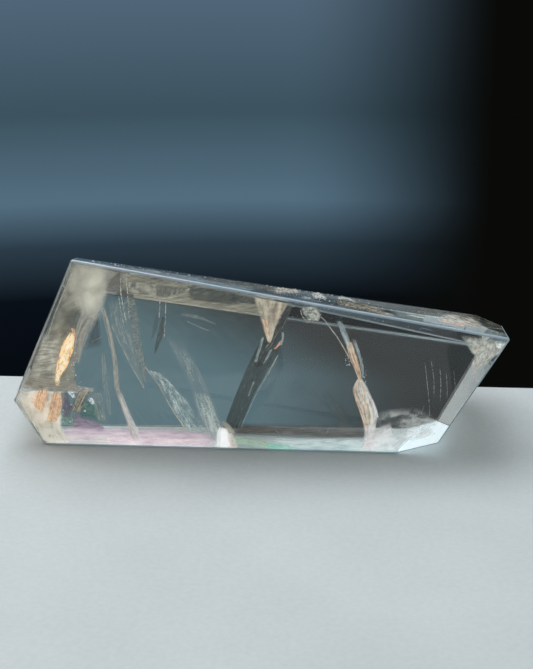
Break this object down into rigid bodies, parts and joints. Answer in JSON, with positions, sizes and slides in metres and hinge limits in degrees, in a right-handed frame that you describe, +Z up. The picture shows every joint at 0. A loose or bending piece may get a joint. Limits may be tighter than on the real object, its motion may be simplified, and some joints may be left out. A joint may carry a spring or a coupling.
{
  "type": "optical calcite freeform",
  "caption": "Clear polished calcite block with slanted ends, a leaning back, a sloping top and softened edges, resting on its flat ground base.",
  "frame": {"origin": "on the base plane, under the middle of the block's outline", "axes": "+X along the length towards the lower, pointed right end; +Y from the front window to the back; +Z up from the ground base"},
  "size_m": [0.111, 0.0454, 0.0454],
  "materials": {
    "calcite": "polished clear calcite with natural inner fractures"
  },
  "bodies": {
    "root": {"calcite_block": "calcite"}
  },
  "joints": []
}
